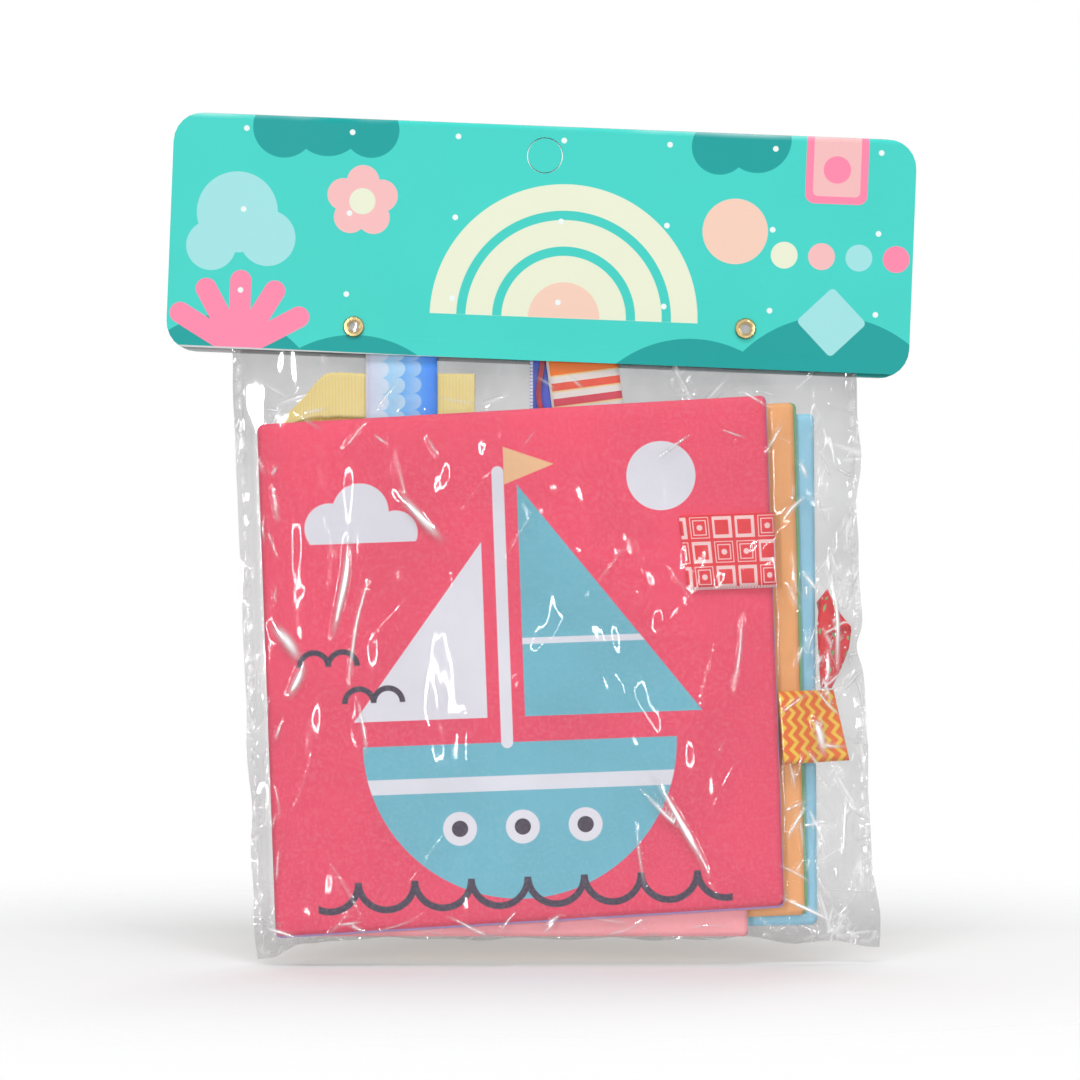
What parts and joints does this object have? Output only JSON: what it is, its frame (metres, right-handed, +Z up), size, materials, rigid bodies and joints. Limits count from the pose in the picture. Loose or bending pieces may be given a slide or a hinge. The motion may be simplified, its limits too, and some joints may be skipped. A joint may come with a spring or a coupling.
{
  "type": "crinkle cloth book",
  "caption": "Padded crinkle cloth book for a baby, with ribbon tags on its edges, in a clear bag that hangs from a folded header card.",
  "frame": {"origin": "centre of the hang hole, half way through the folded header card", "axes": "+X to the right across the cover, +Y out of the back of the pack, +Z up; the cover faces -Y and the spine is at -X"},
  "size_m": [0.2408, 0.0169, 0.2724],
  "materials": {
    "printed_card": "coated print",
    "brass": "polished",
    "clear_film": "clear, glossy and crumpled",
    "crinkle_film": "clear crackling film",
    "wadding": "soft fleece",
    "spine_thread": "thread",
    "spine_binding": "printed cotton",
    "front_leaf_front_cloth": "printed polyester cloth",
    "front_leaf_back_cloth": "printed polyester cloth",
    "second_leaf_front_cloth": "printed polyester cloth",
    "second_leaf_back_cloth": "printed polyester cloth",
    "third_leaf_front_cloth": "printed polyester cloth",
    "third_leaf_back_cloth": "printed polyester cloth",
    "back_leaf_front_cloth": "printed polyester cloth",
    "back_leaf_back_cloth": "printed polyester cloth",
    "yellow_grosgrain": "ribbed ribbon",
    "blue_scallop_satin": "printed satin ribbon",
    "striped_satin": "printed satin ribbon",
    "royal_blue_satin": "satin ribbon",
    "dark_red_satin": "satin ribbon",
    "red_squares_satin": "printed satin ribbon",
    "orange_chevron_satin": "printed satin ribbon",
    "red_ribbon_satin": "printed satin ribbon"
  },
  "bodies": {
    "pack": {"header_card": "printed_card", "eyelet_left": "brass", "eyelet_right": "brass", "bag_front_film": "clear_film", "bag_back_film": "clear_film", "back_leaf_front_cloth": "back_leaf_front_cloth", "back_leaf_crinkle_film": "crinkle_film", "back_leaf_wadding": "wadding", "back_leaf_back_cloth": "back_leaf_back_cloth", "spine_binding": "spine_binding", "spine_stitches": "spine_thread", "yellow_ribbon": "yellow_grosgrain", "scallop_tag": "blue_scallop_satin", "striped_tag": "striped_satin", "royal_blue_ribbon": "royal_blue_satin", "dark_red_loop": "dark_red_satin"},
    "front_leaf": {"front_leaf_front_cloth": "front_leaf_front_cloth", "front_leaf_crinkle_film": "crinkle_film", "front_leaf_wadding": "wadding", "front_leaf_back_cloth": "front_leaf_back_cloth"},
    "second_leaf": {"second_leaf_front_cloth": "second_leaf_front_cloth", "second_leaf_crinkle_film": "crinkle_film", "second_leaf_wadding": "wadding", "second_leaf_back_cloth": "second_leaf_back_cloth"},
    "third_leaf": {"third_leaf_front_cloth": "third_leaf_front_cloth", "third_leaf_crinkle_film": "crinkle_film", "third_leaf_wadding": "wadding", "third_leaf_back_cloth": "third_leaf_back_cloth"},
    "squares_tag": {"squares_tag": "red_squares_satin"},
    "chevron_tag": {"chevron_tag": "orange_chevron_satin"},
    "crumpled_ribbon": {"crumpled_ribbon": "red_ribbon_satin"},
    "hang_tab": {"hang_tab_front": "printed_card", "hang_tab_back": "printed_card"}
  },
  "joints": [
    {"name": "front_leaf_turn", "type": "hinge", "parent": "pack", "child": "front_leaf", "pos_m": [-0.0918, -0.01107, -0.0867], "axis": [0.0366, 0, -0.9993], "range_deg": [0, 165], "deforming": ["bag_front_film"]},
    {"name": "second_leaf_turn", "type": "hinge", "parent": "pack", "child": "second_leaf", "pos_m": [-0.0888, -0.00777, -0.08659], "axis": [0.0366, 0, -0.9993], "range_deg": [0, 100]},
    {"name": "third_leaf_turn", "type": "hinge", "parent": "pack", "child": "third_leaf", "pos_m": [-0.0858, -0.00447, -0.08648], "axis": [0.0366, 0, -0.9993], "range_deg": [0, 50]},
    {"name": "squares_tag_flip", "type": "hinge", "parent": "front_leaf", "child": "squares_tag", "pos_m": [0.0731, -0.01194, -0.12665], "axis": [-0.0366, 0, 0.9993], "range_deg": [0, 166]},
    {"name": "chevron_tag_flip", "type": "hinge", "parent": "front_leaf", "child": "chevron_tag", "pos_m": [0.07436, -0.01107, -0.18349], "axis": [0.0366, 0, -0.9993], "range_deg": [0, 40]},
    {"name": "crumpled_ribbon_flip", "type": "hinge", "parent": "pack", "child": "crumpled_ribbon", "pos_m": [0.08673, -0.00118, -0.1436], "axis": [0.0064, 0, -1], "range_deg": [0, 42]},
    {"name": "hang_tab_push", "type": "slide", "parent": "pack", "child": "hang_tab", "axis": [0, 1, 0], "range_m": [0, 0.012]}
  ],
  "couplings": [
    {"joint": "second_leaf_turn", "follows": "front_leaf_turn", "ratio": 0.6},
    {"joint": "third_leaf_turn", "follows": "front_leaf_turn", "ratio": 0.3},
    {"joint": "squares_tag_flip", "follows": "front_leaf_turn", "ratio": 1},
    {"joint": "chevron_tag_flip", "follows": "front_leaf_turn", "ratio": 0.24},
    {"joint": "crumpled_ribbon_flip", "follows": "front_leaf_turn", "ratio": 0.25}
  ]
}
